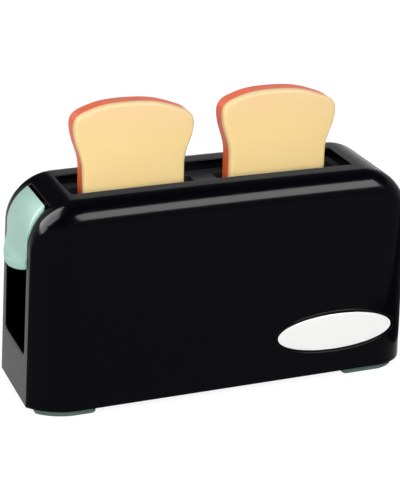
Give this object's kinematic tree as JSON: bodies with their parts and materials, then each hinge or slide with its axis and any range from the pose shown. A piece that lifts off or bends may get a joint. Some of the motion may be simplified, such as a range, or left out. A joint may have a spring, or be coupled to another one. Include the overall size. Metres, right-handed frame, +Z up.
{
  "type": "toy toaster",
  "caption": "Toy toaster: black moulded shell with one long slot, two toy slices on a sprung carriage, a curved end lever, four corner feet and a bare oval badge.",
  "frame": {"origin": "on the table, under the middle of the housing", "axes": "+X along the toaster, away from the lever; -Y is the front with the oval badge; +Z up"},
  "size_m": [0.2025, 0.0678, 0.1453],
  "materials": {
    "black_shell": "polished black moulding",
    "black_satin": "satin black moulding",
    "mint": "pale green, smooth moulding",
    "grey_plastic": "grey moulding",
    "steel": "drawn and zinc-plated steel",
    "rubber": "matt black rubber",
    "cream": "cream yellow, satin moulding",
    "orange": "orange-red, satin moulding",
    "white": "white, bare"
  },
  "bodies": {
    "shell": {"housing": "black_shell", "slot_guide": "black_satin", "base_plate": "black_satin", "foot_front_left": "mint", "foot_front_right": "mint", "foot_rear_left": "mint", "foot_rear_right": "mint", "guide_rod_left": "steel", "guide_rod_right": "steel", "spring_left": "steel", "spring_right": "steel", "buffer_left": "rubber", "buffer_right": "rubber", "badge": "white", "base_screws": "steel", "guide_screws": "steel"},
    "lifter": {"carriage": "grey_plastic", "lever": "mint", "lever_screws": "steel"},
    "left_slice": {"crumb_left": "cream", "crust_left": "orange"},
    "right_slice": {"crumb_right": "cream", "crust_right": "orange"}
  },
  "joints": [
    {"name": "lever_press", "type": "slide", "parent": "shell", "child": "lifter", "axis": [0, 0, -1], "range_m": [0, 0.034], "stiffness_N_per_m": 45, "springref_m": -0.05, "deforming": ["spring_left", "spring_right"]},
    {"name": "left_slice_lift", "type": "slide", "parent": "lifter", "child": "left_slice", "axis": [0, 0, 1], "range_m": [0, 0.075]},
    {"name": "right_slice_lift", "type": "slide", "parent": "lifter", "child": "right_slice", "axis": [0, 0, 1], "range_m": [0, 0.075]}
  ]
}
